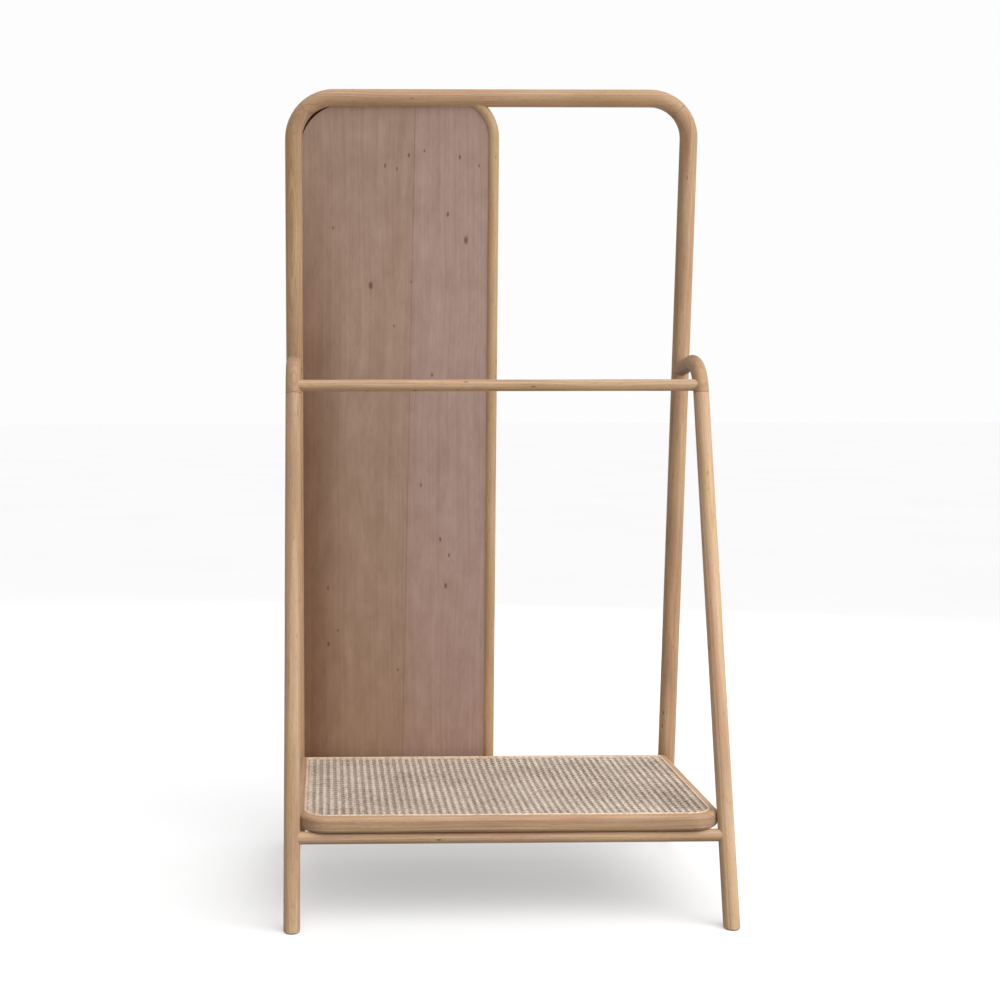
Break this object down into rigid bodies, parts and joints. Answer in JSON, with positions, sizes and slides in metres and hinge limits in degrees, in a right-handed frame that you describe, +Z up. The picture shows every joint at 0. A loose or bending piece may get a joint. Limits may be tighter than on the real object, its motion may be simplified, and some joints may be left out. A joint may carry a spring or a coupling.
{
  "type": "clothes rack with dressing mirror",
  "caption": "Free-standing rack of bent round bars: a tall leaning hoop frames a long mirror, a lower leg frame carries a hanging rod, and a cane tray forms the shelf.",
  "frame": {"origin": "on the floor, in the middle of the footprint between the legs' feet and the hoop's feet", "axes": "+X to the right seen from the hanging side, +Y from the hanging side towards the mirror side, +Z up"},
  "size_m": [0.802, 0.5591, 1.524],
  "materials": {
    "teak_hoop": "oiled, satin",
    "teak_legs": "oiled, satin",
    "teak_tray": "oiled, satin",
    "veneer_board": "bare veneer, matt",
    "silvered_glass": "polished",
    "cane": "natural cane, satin",
    "reed": "natural reed, satin",
    "beech_pegs": "bare",
    "zinc_steel": "zinc plated",
    "brass_sleeve": "turned"
  },
  "bodies": {
    "root": {"tall_post_left": "teak_hoop", "tall_post_right": "teak_hoop", "top_rail": "teak_hoop", "bottom_rail": "teak_hoop", "mirror_stile": "teak_hoop", "corner_dowels": "beech_pegs", "stile_dowels": "beech_pegs", "mirror_back_board": "veneer_board", "mirror_glass": "silvered_glass", "shelf_ledger": "teak_hoop", "ledger_screws": "zinc_steel", "screw_plugs": "teak_hoop", "leg_left": "teak_legs", "leg_right": "teak_legs", "elbow_left": "teak_legs", "elbow_right": "teak_legs", "elbow_dowels": "beech_pegs", "elbow_bolts": "zinc_steel", "elbow_inserts": "brass_sleeve", "hanging_rod": "teak_legs", "lower_rail": "teak_legs", "tray_front_rail": "teak_tray", "tray_back_rail": "teak_tray", "tray_left_rail": "teak_tray", "tray_right_rail": "teak_tray", "tray_dowels": "beech_pegs", "cane_sheet": "cane", "cane_spline_front": "reed", "cane_spline_back": "reed", "tray_screws": "zinc_steel", "tray_board": "veneer_board"}
  },
  "joints": []
}
